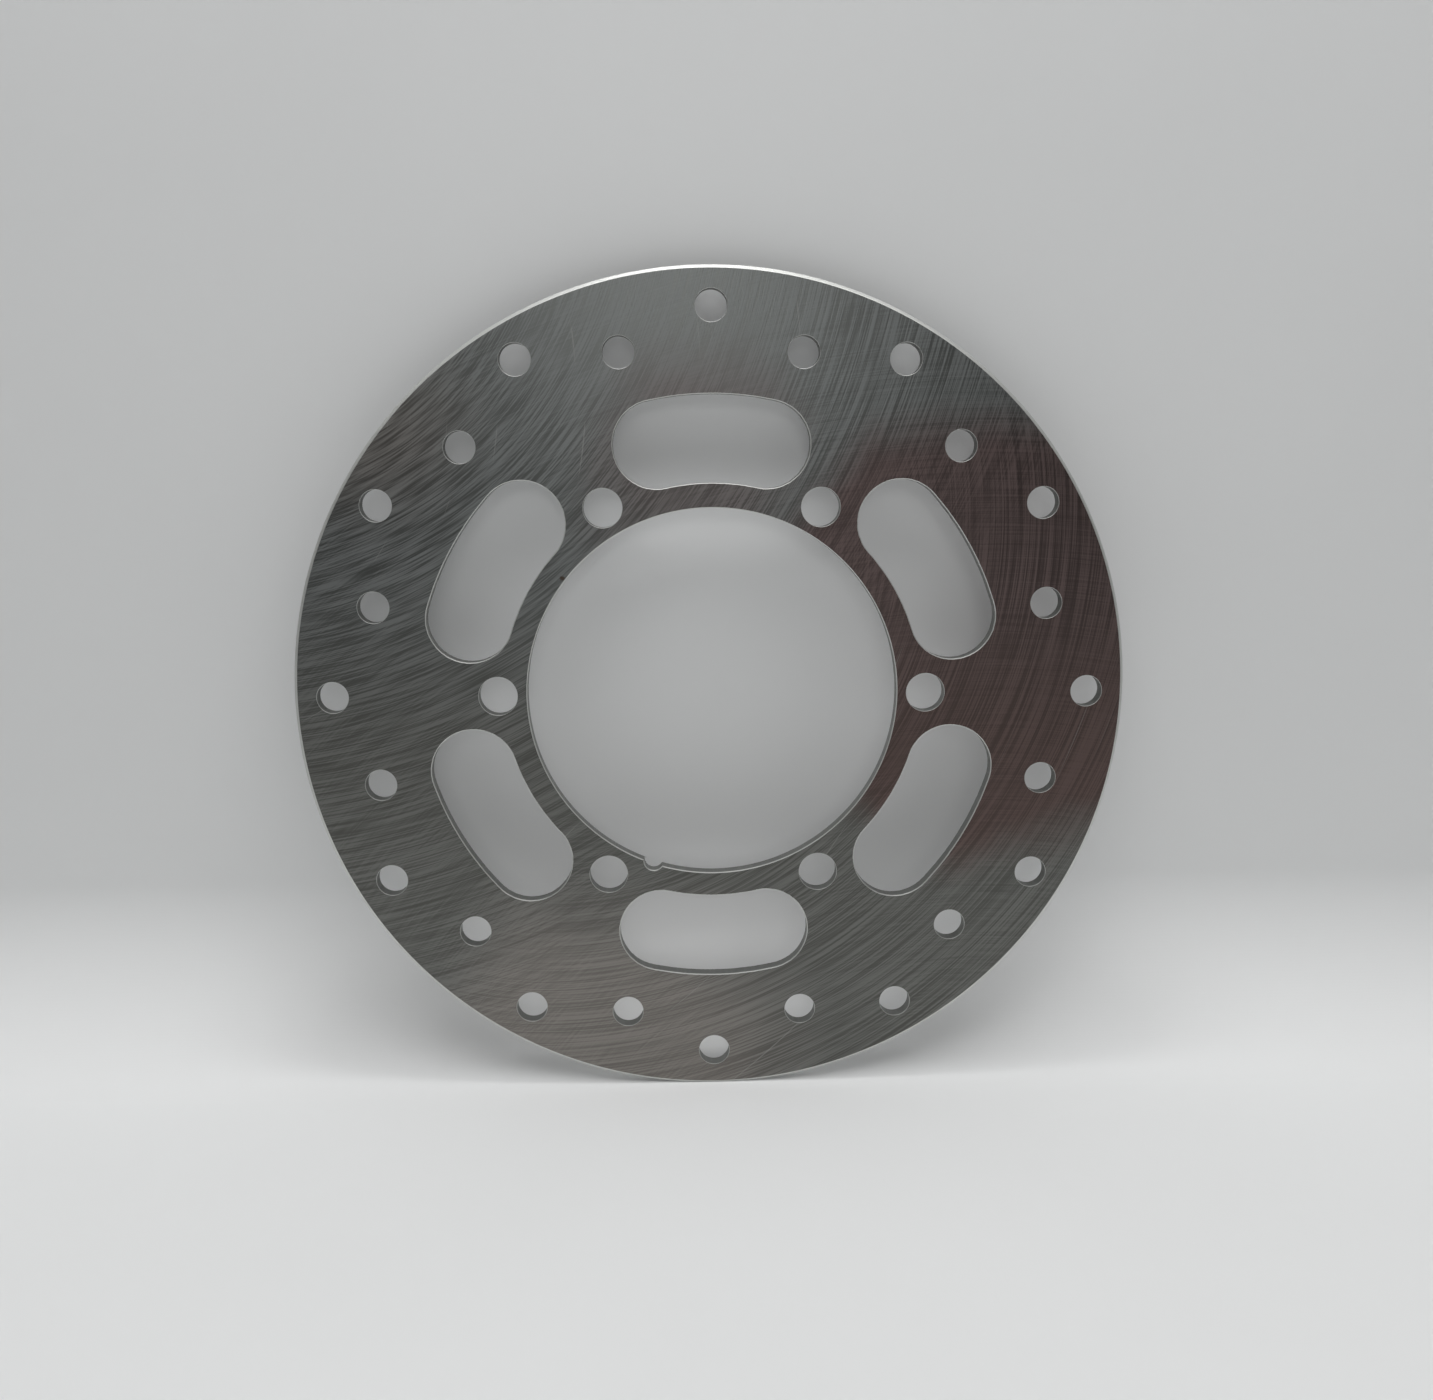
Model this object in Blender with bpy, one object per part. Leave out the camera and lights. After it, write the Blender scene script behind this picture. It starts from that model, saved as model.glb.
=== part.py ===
"""Motorcycle brake disc: one flat steel plate that bolts straight to the wheel hub.

Run it with: blender --background --python part.py, or from Blender's Text Editor.
Metres, +Z up. The disc stands upright, as it does on the wheel: its axis lies along Y, the
outboard face looks along -Y and the face that seats on the hub lies in the plane Y = 0.
The origin is the centre of the bore in that hub face.

The whole disc is cut from one sheet, so it is one object. The hub interface (bore and bolt
holes) is sized from the bore outwards, and the friction band (rim and drilled holes) from the
rim inwards. The slots fill what is left between the two.
"""

import math

import bmesh
import bpy
from mathutils import Matrix

MM = 0.001

# Plate
OUTER_DIAMETER = 220.0 * MM
THICKNESS = 4.0 * MM
RIM_CHAMFER = 0.8 * MM  # at 45 degrees, on both faces

# Hub interface
BORE_DIAMETER = 98.0 * MM  # locates the disc on the hub's spigot
BOLT_COUNT = 6
BOLT_HOLE_DIAMETER = 10.2 * MM
BOLT_WALL = 2.6 * MM  # steel left between the bore and each bolt hole
NOTCH_RADIUS = 2.55 * MM  # round-bottomed notch in the edge of the bore
NOTCH_DEPTH = 1.95 * MM
NOTCH_ANGLE = math.radians(-160.5)  # from the top, clockwise as the outboard face is seen

# Kidney slots, one between each pair of bolt holes
HUB_RING_WIDTH = 6.5 * MM  # from the bore to the slots
BAND_WIDTH = 32.0 * MM  # from the slots to the rim: the band that the pads sweep
SPOKE_WIDTH = 18.0 * MM  # narrowest steel between two slots

# Drilled holes in the friction band, alternately on an outer and an inner row
DRILLED_COUNT = 24
DRILLED_DIAMETER = 8.3 * MM
OUTER_ROW_FROM_RIM = 10.0 * MM
INNER_ROW_FROM_RIM = 18.5 * MM

# Facets
RIM_SEGMENTS = 192
BORE_SEGMENTS = 128
HOLE_SEGMENTS = 32
NOTCH_SEGMENTS = 16
SLOT_ARC_SEGMENTS = 12
SLOT_END_SEGMENTS = 18
SMOOTH_BELOW = math.radians(30)

# The cutter reaches past both faces by this much
OVERSHOOT = 2.0 * MM

# Worked out from the sizes above
OUTER_RADIUS = OUTER_DIAMETER / 2
BORE_RADIUS = BORE_DIAMETER / 2
BOLT_CIRCLE_RADIUS = BORE_RADIUS + BOLT_WALL + BOLT_HOLE_DIAMETER / 2
BOLT_PITCH = 2 * math.pi / BOLT_COUNT
DRILLED_PITCH = 2 * math.pi / DRILLED_COUNT
NOTCH_CENTRE_RADIUS = BORE_RADIUS + NOTCH_DEPTH - NOTCH_RADIUS
NOTCH_CORNER_ON_BORE = math.acos(
    (BORE_RADIUS**2 + NOTCH_CENTRE_RADIUS**2 - NOTCH_RADIUS**2) / (2 * BORE_RADIUS * NOTCH_CENTRE_RADIUS)
)
NOTCH_CORNER_ON_NOTCH = math.acos(
    (BORE_RADIUS**2 - NOTCH_CENTRE_RADIUS**2 - NOTCH_RADIUS**2) / (2 * NOTCH_RADIUS * NOTCH_CENTRE_RADIUS)
)
SLOT_INNER_RADIUS = BORE_RADIUS + HUB_RING_WIDTH
SLOT_OUTER_RADIUS = OUTER_RADIUS - BAND_WIDTH
SLOT_MID_RADIUS = (SLOT_INNER_RADIUS + SLOT_OUTER_RADIUS) / 2
SLOT_END_RADIUS = (SLOT_OUTER_RADIUS - SLOT_INNER_RADIUS) / 2
SPOKE_HALF_ANGLE = math.asin((SPOKE_WIDTH / 2 + SLOT_END_RADIUS) / SLOT_MID_RADIUS)
SLOT_HALF_ANGLE = BOLT_PITCH / 2 - SPOKE_HALF_ANGLE  # to the centre of each round end


def polar(radius, angle):
    """(x, y) of a point in the plane of the disc; the angle runs clockwise from the top."""
    return radius * math.sin(angle), radius * math.cos(angle)


def arc(centre, radius, start, end, segments):
    """Points along an arc, from one angle to another, both ends included."""
    points = []
    for step in range(segments + 1):
        x, y = polar(radius, start + (end - start) * step / segments)
        points.append((centre[0] + x, centre[1] + y))
    return points


def slot_outline(middle):
    """A kidney: two arcs about the disc's centre, joined by a half circle at each end."""
    left = middle - SLOT_HALF_ANGLE
    right = middle + SLOT_HALF_ANGLE
    centre = (0.0, 0.0)
    outer = arc(centre, SLOT_OUTER_RADIUS, left, right, SLOT_ARC_SEGMENTS)
    right_end = arc(
        polar(SLOT_MID_RADIUS, right), SLOT_END_RADIUS, right, right + math.pi, SLOT_END_SEGMENTS
    )
    inner = arc(centre, SLOT_INNER_RADIUS, right, left, SLOT_ARC_SEGMENTS)
    left_end = arc(
        polar(SLOT_MID_RADIUS, left), SLOT_END_RADIUS, left + math.pi, left + 2 * math.pi, SLOT_END_SEGMENTS
    )
    return outer[:-1] + right_end[:-1] + inner[:-1] + left_end[:-1]


def bore_outline():
    """The bore's circle, with the notch's arc let into it."""
    past_notch = NOTCH_ANGLE + NOTCH_CORNER_ON_BORE
    back_at_notch = NOTCH_ANGLE + 2 * math.pi - NOTCH_CORNER_ON_BORE
    bore = arc((0.0, 0.0), BORE_RADIUS, past_notch, back_at_notch, BORE_SEGMENTS)
    notch = arc(
        polar(NOTCH_CENTRE_RADIUS, NOTCH_ANGLE),
        NOTCH_RADIUS,
        NOTCH_ANGLE - NOTCH_CORNER_ON_NOTCH,
        NOTCH_ANGLE + NOTCH_CORNER_ON_NOTCH,
        NOTCH_SEGMENTS,
    )
    return bore[:-1] + notch[:-1]


def circle_outline(centre, radius, segments):
    return arc(centre, radius, 0.0, 2 * math.pi, segments)[:-1]


def new_object(name, bm):
    """Recalculates the normals, makes the mesh an object and links it to the scene."""
    bmesh.ops.recalc_face_normals(bm, faces=bm.faces)
    mesh = bpy.data.meshes.new(name)
    bm.to_mesh(mesh)
    bm.free()
    obj = bpy.data.objects.new(name, mesh)
    bpy.context.scene.collection.objects.link(obj)
    return obj


def holes_cutter(outlines):
    """One prism for each outline, through the plate and past both faces."""
    bm = bmesh.new()
    low = -OVERSHOOT
    high = THICKNESS + OVERSHOOT
    for outline in outlines:
        bottom = bm.faces.new([bm.verts.new((x, y, low)) for x, y in outline])
        made = bmesh.ops.extrude_face_region(bm, geom=[bottom], use_keep_orig=True)
        top = [item for item in made["geom"] if isinstance(item, bmesh.types.BMVert)]
        bmesh.ops.translate(bm, verts=top, vec=(0.0, 0.0, high - low))
    cutter = new_object("cut_holes", bm)
    cutter.hide_render = True
    cutter.display_type = "WIRE"
    return cutter


def plate_blank():
    """The round blank, turned with a chamfer on both edges of its rim."""
    bm = bmesh.new()
    bmesh.ops.create_cone(
        bm,
        cap_ends=True,
        segments=RIM_SEGMENTS,
        radius1=OUTER_RADIUS,
        radius2=OUTER_RADIUS,
        depth=THICKNESS,
        matrix=Matrix.Translation((0.0, 0.0, THICKNESS / 2)),
    )
    caps = [face for face in bm.faces if abs(face.normal.z) > 0.5]
    rim_edges = [edge for face in caps for edge in face.edges]
    bmesh.ops.bevel(bm, geom=rim_edges, offset=RIM_CHAMFER, segments=1, affect="EDGES")
    return new_object("brake_disc", bm)


def hole_outlines():
    """Every hole in the plate, in the order that a maker would cut them."""
    outlines = [bore_outline()]
    for number in range(BOLT_COUNT):
        outlines.append(slot_outline(number * BOLT_PITCH))
        bolt = polar(BOLT_CIRCLE_RADIUS, (number + 0.5) * BOLT_PITCH)
        outlines.append(circle_outline(bolt, BOLT_HOLE_DIAMETER / 2, HOLE_SEGMENTS))
    for number in range(DRILLED_COUNT):
        from_rim = INNER_ROW_FROM_RIM if number % 2 else OUTER_ROW_FROM_RIM
        centre = polar(OUTER_RADIUS - from_rim, number * DRILLED_PITCH)
        outlines.append(circle_outline(centre, DRILLED_DIAMETER / 2, HOLE_SEGMENTS))
    return outlines


def ground_steel():
    """Bare martensitic stainless steel, surface-ground and left dull."""
    material = bpy.data.materials.new("ground_stainless_steel")
    material.use_nodes = True
    shader = material.node_tree.nodes["Principled BSDF"]
    shader.inputs["Base Color"].default_value = (0.13, 0.125, 0.12, 1.0)
    shader.inputs["Metallic"].default_value = 1.0
    shader.inputs["Roughness"].default_value = 0.42
    return material


def build_disc():
    """The disc, modelled flat with its outboard face up, then stood on its edge."""
    disc = plate_blank()
    disc.data.materials.append(ground_steel())
    disc.data.shade_smooth()
    disc.data.set_sharp_from_angle(angle=SMOOTH_BELOW)
    cutter = holes_cutter(hole_outlines())
    cut = disc.modifiers.new("holes", "BOOLEAN")
    cut.operation = "DIFFERENCE"
    cut.solver = "EXACT"
    cut.object = cutter
    for obj in (disc, cutter):
        obj.matrix_world = Matrix.Rotation(math.pi / 2, 4, "X")


def main():
    for old in list(bpy.data.objects):
        bpy.data.objects.remove(old, do_unlink=True)
    build_disc()


main()
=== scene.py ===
"""A ground steel brake disc standing on a pale sweep under soft studio light."""

import math

import bmesh
import bpy
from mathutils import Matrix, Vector


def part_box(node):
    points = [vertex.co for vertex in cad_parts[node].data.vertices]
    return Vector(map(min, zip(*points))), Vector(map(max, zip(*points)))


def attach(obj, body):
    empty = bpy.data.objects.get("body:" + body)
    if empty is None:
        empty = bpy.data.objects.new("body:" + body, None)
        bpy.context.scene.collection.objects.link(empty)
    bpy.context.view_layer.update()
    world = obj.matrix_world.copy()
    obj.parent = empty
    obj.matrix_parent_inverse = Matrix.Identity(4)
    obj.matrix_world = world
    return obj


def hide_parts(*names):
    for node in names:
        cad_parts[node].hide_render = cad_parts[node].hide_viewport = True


bl_info = {
    "name": "Brake Disc Studio",
    "version": (1, 0, 0),
    "blender": (4, 5, 0),
    "location": "View3D > Sidebar > Brake Disc",
    "description": "Machines a finished brake disc over its packed solid and sets it in a small studio",
    "category": "Object",
}

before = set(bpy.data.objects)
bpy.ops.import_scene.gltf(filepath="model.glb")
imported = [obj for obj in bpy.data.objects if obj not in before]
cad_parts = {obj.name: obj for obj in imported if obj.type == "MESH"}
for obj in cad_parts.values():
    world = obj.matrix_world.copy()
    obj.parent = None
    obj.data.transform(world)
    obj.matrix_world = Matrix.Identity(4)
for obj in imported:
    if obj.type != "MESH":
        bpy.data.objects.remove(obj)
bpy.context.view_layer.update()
DISC_LOW, DISC_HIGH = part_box("brake_disc")
RIM_RADIUS = (DISC_HIGH.x - DISC_LOW.x) / 2
OUTBOARD = DISC_LOW.y
HUB_SIDE = DISC_HIGH.y
MM = 0.001

# sides of the round shapes, fine enough to look round close up
RIM_SIDES = 720
BORE_SIDES = 480
SLOT_END_SIDES = 144
BOLT_HOLE_SIDES = 80
NOTCH_SIDES = 72
DRILLED_HOLE_SIDES = 64
SLOT_ARC_STEP = 0.5 * MM
FOLD_STEPS = 72

SLOTS = 6
BOLT_HOLES = 6
HOLES_IN_A_ROW = 12
PAST_FACE = 4 * MM  # how far a cutter stands out of each face
NEAR = 0.01 * MM  # two points this close are the same
RIM_CORNER = 1.2  # edges turned by more, in radians, are the rim's square corners
CHAMFER_CORNER = 0.6  # and by more than this, the corners that a chamfer leaves
CHAMFER_BREAK = 0.1 * MM
CUT_CORNER = math.radians(60)
SMOOTH_BELOW = math.radians(20)

# Where the grinding wheel stood, across and up from the disc's axis, for each set of marks.
FIRST_WHEEL = (-0.130, 0.140)
SECOND_WHEEL = (-0.045, 0.044)
CROSSING_WHEEL = (0.075, -0.200)
DEEP_WHEEL = (-0.150, 0.080)
# Marks as width, length and share. Grit leaves them about 0.1 mm wide, and they are drawn a third of a
# millimetre wide so that they show.
FINE_MARKS = ((0.34 * MM, 22 * MM, 0.60), (0.75 * MM, 34 * MM, 0.28), (1.9 * MM, 60 * MM, 0.12))
DEEP_MARKS = ((0.6 * MM, 45 * MM, 1.0),)
# Patches on the face: centre across and up, radius that is full, radius where it ends, raggedness. The brown
# ones are a film on the steel; the pale foot is lighter, warmer steel where the painted shade of the lower
# half stops, and the shoulder is a painted highlight near the rim.
BROWN_SIDE = ((0.072, 0.016), 0.052, 0.068, 0.03)
BROWN_CROWN = ((-0.005, 0.060), 0.010, 0.042, 0.05)
# lighter, warmer steel at the foot, left out of the painted shade of the lower half
PALE_FOOT = ((-0.030, -0.102), 0.024, 0.062, 0.03)
# painted highlight on the face near the rim at the upper left
HIGHLIGHT_SHOULDER = ((-0.088, 0.070), 0.006, 0.034, 0.03)
SPECK_SIZE = (0.3 * MM, 0.8 * MM, 1.0 * MM)

FLOOR_FRONT = -1.2
FLOOR_HALF_WIDTH = 1.5
TABLE_WIDTH = 8
TABLE_DROP = 0.5 * MM
# Lamps as name, place, aim, width and length, watts. The fill lights the backdrop alone.
ABOVE = ((0.06, -0.47, 0.90), (0, -0.12, 0), (1.1, 0.7))
FILL = ("fill", *ABOVE, 2.4)
LAMPS = (
    ("ceiling", *ABOVE, 6.3),
    FILL,
    ("strip", (-0.025, -0.06, 0.42), (-0.025, -0.05, -0.10), (0.15, 0.05), 0.37),
    ("glint", (-0.33, -0.03, 0.32), (-0.08, 0, 0.08), (0.08, 0.08), 0.06),
    ("room", (0, -1.30, 0.30), (0, 0, 0), (0.30, 0.20), 1.0),
)


# ---------------------------------------------------------------- settings


class DiscSettings(bpy.types.PropertyGroup):
    """Sizes of the machined disc."""

    rim_chamfer: bpy.props.FloatProperty(
        name="Rim chamfer", description="Leg of the turned chamfer on both rim edges",
        default=0.8 * MM, min=0, unit="LENGTH")
    bore_diameter: bpy.props.FloatProperty(
        name="Bore", description="Diameter of the central bore",
        default=98 * MM, min=0, unit="LENGTH")
    slot_inner_radius: bpy.props.FloatProperty(
        name="Slot inner radius", description="Radius of each slot's hub-side edge",
        default=55.5 * MM, min=0, unit="LENGTH")
    slot_outer_radius: bpy.props.FloatProperty(
        name="Slot outer radius", description="Radius of each slot's rim-side edge",
        default=78 * MM, min=0, unit="LENGTH")
    slot_half_angle: bpy.props.FloatProperty(
        name="Slot half angle", description="From a slot's middle to the centre of its round end",
        default=math.radians(12.336), min=0, subtype="ANGLE")
    bolt_circle: bpy.props.FloatProperty(
        name="Bolt circle", description="Diameter of the circle the bolt holes lie on",
        default=113.4 * MM, min=0, unit="LENGTH")
    bolt_hole: bpy.props.FloatProperty(
        name="Bolt hole", description="Diameter of a bolt hole",
        default=10.2 * MM, min=0, unit="LENGTH")
    drilled_hole: bpy.props.FloatProperty(
        name="Drilled hole", description="Diameter of a hole in the brake band",
        default=8.3 * MM, min=0, unit="LENGTH")
    drilled_inner: bpy.props.FloatProperty(
        name="Inner row", description="Radius of the inner row of drilled holes",
        default=91.5 * MM, min=0, unit="LENGTH")
    drilled_outer: bpy.props.FloatProperty(
        name="Outer row", description="Radius of the outer row of drilled holes",
        default=100 * MM, min=0, unit="LENGTH")
    notch_radius: bpy.props.FloatProperty(
        name="Notch radius", description="Radius of the round notch in the bore's edge",
        default=2.55 * MM, min=0, unit="LENGTH")
    notch_centre: bpy.props.FloatProperty(
        name="Notch centre", description="Distance of the notch's centre from the disc's axis",
        default=48.4 * MM, min=0, unit="LENGTH")
    notch_angle: bpy.props.FloatProperty(
        name="Notch angle", description="Where the notch lies, clockwise from the top of the outboard face",
        default=math.radians(-160.5), subtype="ANGLE")
    cut_break: bpy.props.FloatProperty(
        name="Cut edge break", description="Leg of the small break on the edges of the bore and the slots",
        default=0.24 * MM, min=0, unit="LENGTH")
    drilled_break: bpy.props.FloatProperty(
        name="Drilled edge break",
        description="Leg of the small break on the edges of the drilled and bolt holes",
        default=0.1 * MM, min=0, unit="LENGTH")
    cut_waviness: bpy.props.FloatProperty(
        name="Cut waviness", description="How far a laser-cut slot's edge strays from its line",
        default=0.03 * MM, min=0, unit="LENGTH")


class SteelSettings(bpy.types.PropertyGroup):
    """Colours and finish of the ground steel."""

    # These two colours paint the pale foot and, near the rim at the upper left, a painted highlight.
    clean: bpy.props.StringProperty(
        name="Clean steel", description="sRGB colour of the crests where the steel is cleanest",
        default="8F8B86")
    pale_and_highlit_hollow: bpy.props.StringProperty(
        name="Shaded clean steel", description="sRGB colour between the marks where the steel is cleanest",
        default="736F6B")
    cool: bpy.props.StringProperty(
        name="Cool steel", description="sRGB colour of the crests under a blue grey film", default="868988")
    warm: bpy.props.StringProperty(
        name="Warm steel", description="sRGB colour of the crests under a brown film", default="776866")
    shaded: bpy.props.StringProperty(
        name="Shaded steel", description="sRGB colour between the grinding marks", default="656765")
    shaded_brown: bpy.props.StringProperty(
        name="Shaded brown steel", description="sRGB colour between the marks under the brown film",
        default="5E5351")
    # Painted shade: this colour multiplies the lower half of the face, darkening its reflection of the bright
    # floor.
    painted_shade: bpy.props.StringProperty(
        name="Dull film", description="sRGB colour of the film that darkens the lower half", default="E5E1DD")
    scratch: bpy.props.StringProperty(
        name="Scratch", description="sRGB colour of a single deeper scratch", default="A9A9A6")
    bare: bpy.props.StringProperty(
        name="Bare edge", description="sRGB colour of the turned chamfer and the broken edges",
        default="D2D3D0")
    wall: bpy.props.StringProperty(
        name="Cut wall", description="sRGB colour of the cut walls of the holes", default="8C8D8A")
    rust: bpy.props.StringProperty(
        name="Rust speck", description="sRGB colour of the small rust speck", default="4C3A2C")
    rust_place: bpy.props.FloatVectorProperty(
        name="Rust place", description="Where the speck lies on the face, across and up",
        default=(-0.0392, 0.0311), size=2, unit="LENGTH")
    roughness: bpy.props.FloatProperty(
        name="Roughness", description="Roughness between the grinding marks", default=0.36, min=0, max=1)


class StageSettings(bpy.types.PropertyGroup):
    """The sweep, the lights and the camera."""

    floor_colour: bpy.props.StringProperty(
        name="Floor", description="sRGB colour of the pale sweep", default="E6E7E7")
    room_dim: bpy.props.StringProperty(
        name="Room in reflections", description="sRGB colour of the room that the steel reflects",
        default="1E1E1E")
    room_pale: bpy.props.StringProperty(
        name="Room behind the floor", description="sRGB colour of the room beyond the sweep",
        default="C9CACA")
    gap: bpy.props.FloatProperty(
        name="Gap", description="Between the top of the disc and the backdrop",
        default=5 * MM, min=0, unit="LENGTH")
    lean: bpy.props.FloatProperty(
        name="Lean", description="How far the backdrop leans towards the disc",
        default=math.radians(9), min=0, subtype="ANGLE")
    fold_radius: bpy.props.FloatProperty(
        name="Fold radius", description="Radius of the curve between floor and backdrop",
        default=42 * MM, min=0, unit="LENGTH")
    backdrop_top: bpy.props.FloatProperty(
        name="Backdrop top", description="Height of the backdrop's upper edge",
        default=0.32, unit="LENGTH")
    camera_place: bpy.props.FloatVectorProperty(
        name="Camera", description="Where the camera stands", subtype="XYZ", unit="LENGTH",
        default=(-0.01132, DISC_LOW.y - 0.36465, 0.06155))
    camera_turn: bpy.props.FloatVectorProperty(
        name="Camera turn", description="Which way the camera looks", subtype="EULER",
        default=(math.radians(80.188), math.radians(0.223), math.radians(-1.971)))
    lens: bpy.props.FloatProperty(
        name="Lens", description="Focal length in millimetres on a 36 mm sensor", default=35.03, min=1)


# ------------------------------------------------------- modelling helpers


def clear_selection():
    """Object mode with nothing selected."""
    if bpy.context.mode != "OBJECT":
        bpy.ops.object.mode_set(mode="OBJECT")
    bpy.ops.object.select_all(action="DESELECT")


def take(piece):
    """Object mode with one piece selected and active."""
    clear_selection()
    bpy.context.view_layer.objects.active = piece
    piece.select_set(True)


def made(name):
    """The object the last operator added, named."""
    piece = bpy.context.active_object
    piece.name = name
    piece.data.name = name
    return piece


def edit(piece):
    """Edit mode on one piece with nothing in it selected."""
    take(piece)
    bpy.ops.object.mode_set(mode="EDIT")
    bpy.ops.mesh.select_all(action="DESELECT")


def pick(piece, kind, test):
    """In edit mode, selects the vertices, edges or faces that pass the test."""
    bpy.ops.mesh.select_mode(type=kind)
    mesh = bmesh.from_edit_mesh(piece.data)
    items = {"VERT": mesh.verts, "EDGE": mesh.edges, "FACE": mesh.faces}[kind]
    found = [item for item in items if test(item)]
    for item in found:
        item.select_set(True)
    mesh.select_flush_mode()
    bmesh.update_edit_mesh(piece.data)
    if not found:
        raise RuntimeError(f"{piece.name}: nothing there to select")


def pick_corners(piece, least):
    """In edit mode, selects the edges where the surface turns by more than this angle."""
    pick(piece, "EDGE", lambda e: len(e.link_faces) == 2 and
         e.link_faces[0].normal.angle(e.link_faces[1].normal) > least)


def settle(piece):
    """Puts a piece's place and turn into its mesh."""
    take(piece)
    bpy.ops.object.transform_apply(location=True, rotation=True, scale=True)


def apply_modifier(piece, kind, name, **settings):
    """Adds a modifier with its settings and applies it."""
    take(piece)
    modifier = piece.modifiers.new(name, kind)
    for key, value in settings.items():
        setattr(modifier, key, value)
    bpy.ops.object.modifier_apply(modifier=name)


def radius_of(point):
    """Distance from the disc's axis."""
    return math.hypot(point.x, point.z)


def refuse_open(piece):
    """Stops if a finished piece has an open or doubled edge."""
    mesh = bmesh.new()
    mesh.from_mesh(piece.data)
    faults = sum(1 for edge in mesh.edges if not edge.is_manifold)
    mesh.free()
    if faults:
        raise RuntimeError(f"{piece.name}: {faults} edges aren't closed")


# -------------------------------------------------------------- the disc


def spin_copies(count):
    """In edit mode, copies the selection round the disc's axis, to this many in all."""
    copies = count - 1
    bpy.ops.mesh.spin(steps=copies, dupli=True, angle=copies * math.tau / count,
                      center=(0, 0, 0), axis=(0, 1, 0))


def round_bar(name, radius, place, sides):
    """A bar along the axis, longer than the plate is thick."""
    clear_selection()
    bpy.ops.mesh.primitive_cylinder_add(
        vertices=sides, radius=radius, depth=3 * (HUB_SIDE - OUTBOARD),
        location=(place[0], (OUTBOARD + HUB_SIDE) / 2, place[1]), rotation=(math.pi / 2, 0, 0))
    piece = made(name)
    settle(piece)
    return piece


def cut_blank(disc):
    """The round blank with its turned rim chamfers."""
    clear_selection()
    bpy.ops.mesh.primitive_cylinder_add(
        vertices=RIM_SIDES, radius=RIM_RADIUS, depth=HUB_SIDE - OUTBOARD,
        location=(0, (OUTBOARD + HUB_SIDE) / 2, 0), rotation=(math.pi / 2, 0, 0))
    blank = made("brake_disc_ground")
    settle(blank)
    edit(blank)
    pick_corners(blank, RIM_CORNER)
    bpy.ops.mesh.bevel(offset=disc.rim_chamfer, offset_type="OFFSET", segments=1)
    bpy.ops.mesh.select_all(action="DESELECT")
    pick_corners(blank, CHAMFER_CORNER)
    bpy.ops.mesh.bevel(offset=CHAMFER_BREAK, offset_type="OFFSET", segments=1)
    bpy.ops.object.mode_set(mode="OBJECT")
    return blank


def bore_bar(disc):
    """The bore's cutter, with the round notch in its edge."""
    bore = round_bar("bore_cutter", disc.bore_diameter / 2, (0, 0), BORE_SIDES)
    notch_place = (disc.notch_centre * math.sin(disc.notch_angle),
                   disc.notch_centre * math.cos(disc.notch_angle))
    notch = round_bar("notch_cutter", disc.notch_radius, notch_place, NOTCH_SIDES)
    apply_modifier(bore, "BOOLEAN", "notch", operation="UNION", solver="EXACT", object=notch)
    bpy.data.objects.remove(notch)
    return bore


def slot_bars(disc):
    """The six kidney-shaped slots: two round ends joined by arcs, copied round the axis."""
    middle = (disc.slot_inner_radius + disc.slot_outer_radius) / 2
    end = (disc.slot_outer_radius - disc.slot_inner_radius) / 2
    half = disc.slot_half_angle
    clear_selection()
    bpy.ops.mesh.primitive_circle_add(
        vertices=SLOT_END_SIDES, radius=end, fill_type="NOTHING", rotation=(math.pi / 2, 0, 0),
        location=(0, HUB_SIDE + PAST_FACE, middle))
    slots = made("slot_cutter")
    settle(slots)
    edit(slots)
    pick(slots, "VERT", lambda v: v.co.x > NEAR)
    bpy.ops.mesh.delete(type="VERT")
    bpy.ops.mesh.select_all(action="SELECT")
    bpy.ops.transform.rotate(value=half, orient_axis="Y", center_override=(0, 0, 0))
    bpy.ops.mesh.duplicate()
    bpy.ops.transform.mirror(constraint_axis=(True, False, False), center_override=(0, 0, 0))
    for radius in (disc.slot_inner_radius, disc.slot_outer_radius):
        bpy.ops.mesh.select_all(action="DESELECT")
        pick(slots, "VERT", lambda v: v.co.x < 0 and len(v.link_edges) == 1
             and abs(radius_of(v.co) - radius) < NEAR)
        bpy.ops.mesh.spin(steps=int(2 * half * radius / SLOT_ARC_STEP), angle=-2 * half,
                          center=(0, 0, 0), axis=(0, 1, 0))
    bpy.ops.mesh.select_all(action="SELECT")
    bpy.ops.mesh.remove_doubles(threshold=NEAR)
    bpy.ops.transform.vertex_random(offset=disc.cut_waviness, uniform=1.0, normal=0, seed=4)
    bpy.ops.transform.resize(value=(1, 0, 1), center_override=(0, HUB_SIDE + PAST_FACE, 0))
    bpy.ops.mesh.edge_face_add()
    bpy.ops.mesh.extrude_region_move(
        TRANSFORM_OT_translate={"value": (0, OUTBOARD - HUB_SIDE - 2 * PAST_FACE, 0)})
    bpy.ops.mesh.select_all(action="SELECT")
    bpy.ops.mesh.normals_make_consistent(inside=False)
    spin_copies(SLOTS)
    bpy.ops.object.mode_set(mode="OBJECT")
    return slots


def drilled_bars(disc):
    """Two rows of twelve drilled holes and the six bolt holes."""
    bars = []
    drill = disc.drilled_hole / 2
    between = math.pi / HOLES_IN_A_ROW
    for name, radius, count, row, first, sides in (
            ("outer_row", drill, HOLES_IN_A_ROW, disc.drilled_outer, 0.0, DRILLED_HOLE_SIDES),
            ("inner_row", drill, HOLES_IN_A_ROW, disc.drilled_inner, between, DRILLED_HOLE_SIDES),
            ("bolt_holes", disc.bolt_hole / 2, BOLT_HOLES, disc.bolt_circle / 2, math.pi / BOLT_HOLES,
             BOLT_HOLE_SIDES)):
        bar = round_bar(name, radius, (row * math.sin(first), row * math.cos(first)), sides)
        edit(bar)
        bpy.ops.mesh.select_all(action="SELECT")
        spin_copies(count)
        bpy.ops.object.mode_set(mode="OBJECT")
        bars.append(bar)
    return bars


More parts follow.
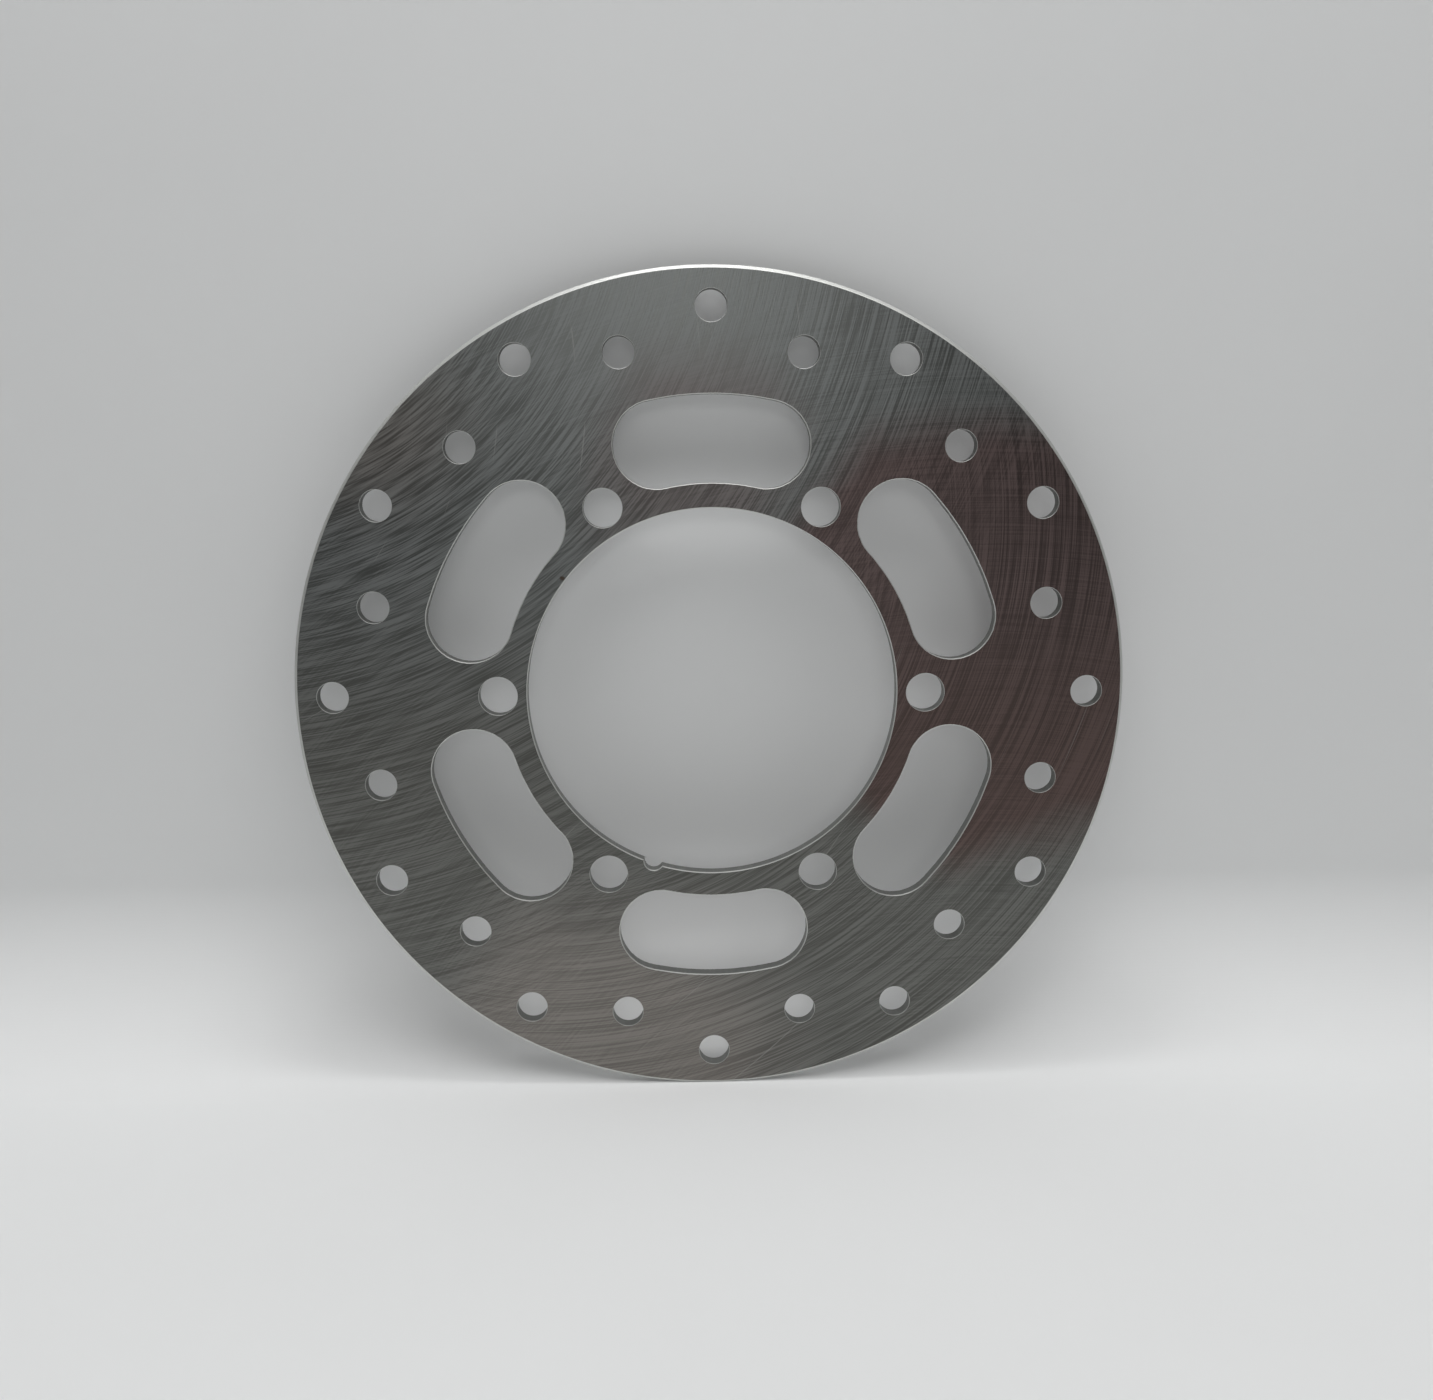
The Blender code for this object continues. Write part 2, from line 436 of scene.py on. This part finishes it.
def cut_holes(blank, bars, leg):
    """Cuts the bars out of the blank and breaks the new edges. Edges broken before are too blunt to be
    taken again."""
    clear_selection()
    for bar in bars:
        bar.select_set(True)
    bpy.context.view_layer.objects.active = bars[0]
    bpy.ops.object.join()
    cutter = bpy.context.active_object
    apply_modifier(blank, "BOOLEAN", "holes", operation="DIFFERENCE", solver="EXACT", object=cutter)
    bpy.data.objects.remove(cutter)
    apply_modifier(blank, "BEVEL", "edge_break", width=leg, segments=2,
                   limit_method="ANGLE", angle_limit=CUT_CORNER,
                   loop_slide=False, use_clamp_overlap=False)


class ROTOR_OT_disc(bpy.types.Operator):
    """Machine the ground steel disc"""

    bl_idname = "rotor.disc"
    bl_label = "Brake disc"

    def execute(self, context):
        disc = context.scene.rotor_disc
        blank = cut_blank(disc)
        cut_holes(blank, [bore_bar(disc), slot_bars(disc)], disc.cut_break)
        cut_holes(blank, drilled_bars(disc), disc.drilled_break)
        refuse_open(blank)
        take(blank)
        bpy.ops.object.shade_smooth_by_angle(angle=SMOOTH_BELOW)
        blank.data.materials.clear()
        blank.data.materials.append(ground_steel(context.scene.rotor_steel))
        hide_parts("brake_disc")
        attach(blank, "root")
        return {"FINISHED"}


# -------------------------------------------------------------- materials


def linear(hex_colour):
    """An sRGB hex colour as linear RGBA."""
    parts = [int(hex_colour[i:i + 2], 16) / 255 for i in (0, 2, 4)]
    return [p / 12.92 if p <= 0.04045 else ((p + 0.055) / 1.055) ** 2.4 for p in parts] + [1.0]


def new_material(name):
    """A node material with nothing in it, and its node tree."""
    material = bpy.data.materials.new(name)
    material.use_nodes = True
    material.node_tree.nodes.clear()
    return material, material.node_tree


def add(tree, kind, inputs=(), **settings):
    """Adds a shader node with its settings. Its inputs come in order or by key, and each is a value, a
    socket to link, or a node whose first output in use is linked."""
    node = tree.nodes.new(f"ShaderNode{kind}")
    for key, value in settings.items():
        setattr(node, key, value)
    keyed = inputs if isinstance(inputs, dict) else dict(enumerate(inputs))
    for key, value in keyed.items():
        if isinstance(value, bpy.types.Node):
            value = next(output for output in value.outputs if output.enabled)
        if isinstance(value, bpy.types.NodeSocket):
            tree.links.new(value, node.inputs[key])
        else:
            node.inputs[key].default_value = value
    return node


def wheel_marks(tree, place, wheel, seed, layers):
    """Marks of a grinding wheel: arcs about its centre, as noise drawn out along them at several widths."""
    offset = add(tree, "VectorMath", (place, (wheel[0], 0, wheel[1])), operation="SUBTRACT")
    reach = add(tree, "VectorMath", (offset,), operation="LENGTH")
    split = add(tree, "SeparateXYZ", (offset,))
    turn = add(tree, "Math", (split.outputs["Z"], split.outputs["X"]), operation="ARCTAN2")
    mean_reach = math.hypot(*wheel) + 0.02
    total = 0.0
    for number, (width, length, share) in enumerate(layers):
        drawn_out = add(tree, "CombineXYZ", (
            add(tree, "Math", (reach, 1 / width), operation="MULTIPLY"),
            add(tree, "Math", (turn, mean_reach / length), operation="MULTIPLY"),
            seed + 3.7 * number))
        noise = add(tree, "TexNoise", {"Vector": drawn_out, "Scale": 1.0, "Detail": 0.0})
        total = add(tree, "Math", (noise, share, total), operation="MULTIPLY_ADD")
    return total


def round_patch(tree, place, noise, centre, inner, outer, raggedness):
    """1 inside a round patch with a ragged soft edge, 0 outside."""
    reach = add(tree, "VectorMath", (place, (centre[0], 0, centre[1])), operation="DISTANCE")
    reach = add(tree, "Math", (reach, raggedness / 2), operation="SUBTRACT")
    reach = add(tree, "Math", (noise, raggedness, reach), operation="MULTIPLY_ADD")
    return add(tree, "MapRange", (reach, inner, outer, 1.0, 0.0), interpolation_type="SMOOTHSTEP")


def grinding_marks(tree, place, clouds):
    """The marks of all the wheel's passes, 0 between them and 1 on their crests."""
    first = wheel_marks(tree, place, FIRST_WHEEL, 0.0, FINE_MARKS)
    second = wheel_marks(tree, place, SECOND_WHEEL, 40.0, FINE_MARKS)
    crossing = wheel_marks(tree, place, CROSSING_WHEEL, 60.0, FINE_MARKS)
    slant = add(tree, "VectorMath", (place, (0.75, 0, -0.66)), operation="DOT_PRODUCT")
    slant = add(tree, "Math", (clouds, 0.05, slant), operation="MULTIPLY_ADD")
    share = add(tree, "MapRange", (slant, 0.0, 0.07, 0.0, 1.0), interpolation_type="SMOOTHSTEP")
    # inputs 2 and 3 of a Mix node are its two numbers, 6 and 7 its two colours
    marks = add(tree, "Mix", {0: share, 2: first, 3: second}, data_type="FLOAT")
    marks = add(tree, "Mix", {0: 0.25, 2: marks, 3: crossing}, data_type="FLOAT")
    return add(tree, "MapRange", (marks, 0.37, 0.63, 0.0, 1.0), interpolation_type="SMOOTHSTEP")


def filmed_steel(tree, steel, place, clouds, marks):
    """Colour of the face: crests and hollows of the marks, under a film that is blue grey over most of the
    face and brown on one side. A pale patch at the foot and a painted highlight near the rim at the upper
    left take lighter steel, and painted shade darkens the rest of the lower half."""
    height = add(tree, "SeparateXYZ", (place,)).outputs["Z"]
    edge = add(tree, "Math", (clouds, 0.02, height), operation="MULTIPLY_ADD")
    below = add(tree, "MapRange", (edge, 0.070, 0.086, 1.0, 0.0), interpolation_type="SMOOTHSTEP")
    side = add(tree, "Math", (below, round_patch(tree, place, clouds, *BROWN_SIDE)), operation="MULTIPLY")
    crown = add(tree, "Math", (0.5, round_patch(tree, place, clouds, *BROWN_CROWN)), operation="MULTIPLY")
    brown = add(tree, "Math", (side, crown), operation="MAXIMUM")
    foot = round_patch(tree, place, clouds, *PALE_FOOT)
    # painted highlight near the rim at the upper left, at seven tenths strength
    highlight_shoulder = round_patch(tree, place, clouds, *HIGHLIGHT_SHOULDER)
    highlight_shoulder = add(tree, "Math", (0.7, highlight_shoulder), operation="MULTIPLY")
    pale_and_highlight = add(tree, "Math", (foot, highlight_shoulder), operation="MAXIMUM")
    kept = add(tree, "Math", (1.0, pale_and_highlight), operation="SUBTRACT")
    # painted shade: the lower half of the face darkens, apart from the two patches
    lower = add(tree, "MapRange", (height, 0.04, -0.02, 0.0, 1.0), interpolation_type="SMOOTHSTEP")
    painted_low_shade = add(tree, "Math", (lower, kept), operation="MULTIPLY")
    tones = []
    for filmed, patched, browned in ((steel.shaded, steel.pale_and_highlit_hollow, steel.shaded_brown),
                                     (steel.cool, steel.clean, steel.warm)):
        tone = add(tree, "Mix", {0: pale_and_highlight, 6: linear(filmed), 7: linear(patched)}, data_type="RGBA")
        tones.append(add(tree, "Mix", {0: brown, 6: tone, 7: linear(browned)}, data_type="RGBA"))
    tone = add(tree, "Mix", {0: marks, 6: tones[0], 7: tones[1]}, data_type="RGBA")
    # the painted shade multiplies the colour there
    return add(tree, "Mix", {0: painted_low_shade, 6: tone, 7: linear(steel.painted_shade)}, data_type="RGBA",
               blend_type="MULTIPLY")


def ground_steel(steel):
    """Stainless steel, surface-ground with a cup wheel: fine crossing arcs that spread every highlight across
    them, lighter and darker with the light, under a thin uneven film and one rust speck, with painted shade
    over the lower half of the face and a painted highlight near the rim at the upper left."""
    material, tree = new_material("Ground stainless steel")
    coords = add(tree, "TexCoord").outputs["Object"]
    place = add(tree, "VectorMath", (coords, (1, 0, 1)), operation="MULTIPLY")
    clouds = add(tree, "TexNoise", {"Vector": coords, "Scale": 22.0, "Detail": 3.0})
    marks = grinding_marks(tree, place, clouds)
    tone = filmed_steel(tree, steel, place, clouds, marks)

    # a few deeper scratches stand out alone
    deep = wheel_marks(tree, place, DEEP_WHEEL, 9.0, DEEP_MARKS)
    deep = add(tree, "MapRange", (deep, 0.80, 0.88, 0.0, 1.0), interpolation_type="SMOOTHSTEP")
    share = add(tree, "Math", (deep, 0.35), operation="MULTIPLY")
    tone = add(tree, "Mix", {0: share, 6: tone, 7: linear(steel.scratch)}, data_type="RGBA")

    ragged = add(tree, "TexNoise", {"Vector": coords, "Scale": 900.0, "Detail": 2.0})
    speck = round_patch(tree, place, ragged, steel.rust_place, *SPECK_SIZE)
    share = add(tree, "Math", (speck, 0.8), operation="MULTIPLY")
    tone = add(tree, "Mix", {0: share, 6: tone, 7: linear(steel.rust)}, data_type="RGBA")

    # the turned rim, the chamfers and the broken edges are bare and bright, the cut walls of the holes duller
    face = add(tree, "NewGeometry").outputs["True Normal"]
    lean = add(tree, "Math", (add(tree, "SeparateXYZ", (face,)).outputs["Y"],), operation="ABSOLUTE")
    bare = add(tree, "Math", (lean, 0.97), operation="LESS_THAN")
    wall = add(tree, "Math", (lean, 0.25), operation="LESS_THAN")
    tone = add(tree, "Mix", {0: bare, 6: tone, 7: linear(steel.bare)}, data_type="RGBA")
    tone = add(tree, "Mix", {0: wall, 6: tone, 7: linear(steel.wall)}, data_type="RGBA")

    roughness = add(tree, "Math", (marks, 0.10, steel.roughness - 0.05), operation="MULTIPLY_ADD")
    roughness = add(tree, "Math", (bare, 0.14, roughness), operation="MULTIPLY_ADD")
    height = add(tree, "Math", (deep, -0.5, marks), operation="MULTIPLY_ADD")
    bump = add(tree, "Bump", {"Strength": 0.30, "Distance": 0.02 * MM, "Height": height})
    shader = add(tree, "BsdfPrincipled", {
        "Base Color": tone, "Metallic": 1.0, "Roughness": roughness, "Normal": bump})
    add(tree, "OutputMaterial", {"Surface": shader})
    return material


def sweep_paper(hex_colour):
    """Matt white card: its fine tooth keeps any shine off. Seen from behind, the raised part is clear."""
    material, tree = new_material("Matt sweep card")
    coords = add(tree, "TexCoord").outputs["Object"]
    tooth = add(tree, "TexNoise", {"Vector": coords, "Scale": 9.0, "Detail": 4.0})
    share = add(tree, "MapRange", (tooth, 0.3, 0.7, 0.0, 1.0), interpolation_type="SMOOTHSTEP")
    white = linear(hex_colour)
    hollow = [0.985 * part for part in white[:3]] + [1.0]
    colour = add(tree, "Mix", {0: share, 6: white, 7: hollow}, data_type="RGBA")
    card = add(tree, "BsdfPrincipled", {
        "Base Color": colour, "Roughness": 0.9, "Specular IOR Level": 0.2})
    clear = add(tree, "BsdfTransparent")
    behind = add(tree, "NewGeometry").outputs["Backfacing"]
    both = add(tree, "MixShader", (behind, card, clear))
    add(tree, "OutputMaterial", {"Surface": both})
    return material


# ------------------------------------------------------------------ stage


def add_sweep(stage):
    """A floor that curves up into a backdrop close behind the disc, and a wider floor under it."""
    clear_selection()
    foot = HUB_SIDE + stage.gap + (DISC_HIGH.z - DISC_LOW.z) * math.tan(stage.lean)
    turn = math.pi / 2 + stage.lean
    flat_end = foot - stage.fold_radius * (math.tan(stage.lean) + 1 / math.cos(stage.lean))
    bpy.ops.mesh.primitive_plane_add(size=2, location=(0, 0, 0))
    sweep = made("sweep")
    edit(sweep)
    bpy.ops.mesh.select_all(action="SELECT")
    bpy.ops.transform.resize(value=(FLOOR_HALF_WIDTH, (flat_end - FLOOR_FRONT) / 2, 1),
                             center_override=(0, 0, 0))
    bpy.ops.transform.translate(value=(0, (flat_end + FLOOR_FRONT) / 2, DISC_LOW.z))
    bpy.ops.mesh.select_all(action="DESELECT")
    pick(sweep, "EDGE", lambda e: all(v.co.y > flat_end - NEAR for v in e.verts))
    bpy.ops.mesh.spin(steps=FOLD_STEPS, angle=-turn,
                      center=(0, flat_end, DISC_LOW.z + stage.fold_radius), axis=(1, 0, 0))
    reach = DISC_LOW.z + stage.fold_radius * (1 - math.cos(turn))
    bpy.ops.mesh.select_all(action="DESELECT")
    pick(sweep, "EDGE", lambda e: all(v.co.z > reach - NEAR for v in e.verts))
    rise = stage.backdrop_top - reach
    bpy.ops.mesh.extrude_region_move(
        TRANSFORM_OT_translate={"value": (0, -rise * math.tan(stage.lean), rise)})
    bpy.ops.object.mode_set(mode="OBJECT")
    sweep.data.materials.append(sweep_paper(stage.floor_colour))
    clear_selection()
    bpy.ops.mesh.primitive_plane_add(size=TABLE_WIDTH, location=(0, 0, DISC_LOW.z - TABLE_DROP))
    table = made("table_under_sweep")
    table.data.materials.append(sweep.data.materials[0])
    return sweep, table


def add_softbox(name, place, aim, size, power):
    """A soft rectangular light, white."""
    clear_selection()
    bpy.ops.object.light_add(type="AREA", location=place)
    lamp = bpy.context.active_object
    lamp.name = name
    lamp.rotation_euler = (Vector(aim) - Vector(place)).to_track_quat("-Z", "Y").to_euler()
    lamp.data.shape = "RECTANGLE"
    lamp.data.size, lamp.data.size_y = size
    lamp.data.energy = power
    return lamp


def light_only(lamp, pieces):
    """Lets a lamp light these pieces alone, with nothing else shading them from it."""
    lit = bpy.data.collections.new(f"lit_by_{lamp.name}")
    for piece in pieces:
        lit.objects.link(piece)
    lamp.light_linking.receiver_collection = lit
    lamp.light_linking.blocker_collection = lit


def light_room(scene, stage):
    """Dim room for reflections, pale to the eye."""
    world = bpy.data.worlds.new("Studio room")
    world.use_nodes = True
    world.node_tree.nodes.clear()
    tree = world.node_tree
    seen = add(tree, "LightPath").outputs["Is Camera Ray"]
    dim = add(tree, "Background", {"Color": linear(stage.room_dim), "Strength": 1.0})
    pale = add(tree, "Background", {"Color": linear(stage.room_pale), "Strength": 1.0})
    both = add(tree, "MixShader", (seen, dim, pale))
    add(tree, "OutputWorld", {"Surface": both})
    scene.world = world


def add_camera(stage):
    """The camera, level with the upper part of the disc and looking slightly down."""
    clear_selection()
    bpy.ops.object.camera_add(location=stage.camera_place, rotation=stage.camera_turn)
    camera = bpy.context.active_object
    camera.name = "camera"
    camera.data.lens = stage.lens
    camera.data.sensor_width = 36
    camera.data.sensor_fit = "HORIZONTAL"
    camera.data.clip_start = 0.01
    bpy.context.scene.camera = camera


class ROTOR_OT_stage(bpy.types.Operator):
    """Set up the sweep, the lights and the camera"""

    bl_idname = "rotor.stage"
    bl_label = "Studio"

    def execute(self, context):
        stage = context.scene.rotor_stage
        backdrop = add_sweep(stage)
        for lamp in LAMPS:
            softbox = add_softbox(*lamp)
            if lamp is FILL:
                light_only(softbox, backdrop)
        light_room(context.scene, stage)
        add_camera(stage)
        context.scene.view_settings.view_transform = "Standard"
        return {"FINISHED"}


# ------------------------------------------------------------------ panel


class ROTOR_PT_panel(bpy.types.Panel):
    """Lists the pieces and the studio"""

    bl_label = "Brake Disc"
    bl_idname = "ROTOR_PT_panel"
    bl_space_type = "VIEW_3D"
    bl_region_type = "UI"
    bl_category = "Brake Disc"

    def draw(self, context):
        for operator in (ROTOR_OT_disc, ROTOR_OT_stage):
            self.layout.operator(operator.bl_idname)
        for group in (context.scene.rotor_disc, context.scene.rotor_steel, context.scene.rotor_stage):
            box = self.layout.box()
            for key in group.__annotations__:
                box.prop(group, key)


CLASSES = (DiscSettings, SteelSettings, StageSettings, ROTOR_OT_disc, ROTOR_OT_stage, ROTOR_PT_panel)


def register():
    """Adds the settings, the operators and the panel."""
    for cls in CLASSES:
        bpy.utils.register_class(cls)
    bpy.types.Scene.rotor_disc = bpy.props.PointerProperty(type=DiscSettings)
    bpy.types.Scene.rotor_steel = bpy.props.PointerProperty(type=SteelSettings)
    bpy.types.Scene.rotor_stage = bpy.props.PointerProperty(type=StageSettings)


def unregister():
    """Takes them away again."""
    del bpy.types.Scene.rotor_stage, bpy.types.Scene.rotor_steel, bpy.types.Scene.rotor_disc
    for cls in reversed(CLASSES):
        bpy.utils.unregister_class(cls)


def main():
    """Makes the disc and the studio."""
    register()
    bpy.ops.rotor.disc()
    bpy.ops.rotor.stage()


if __name__ == "__main__":
    main()
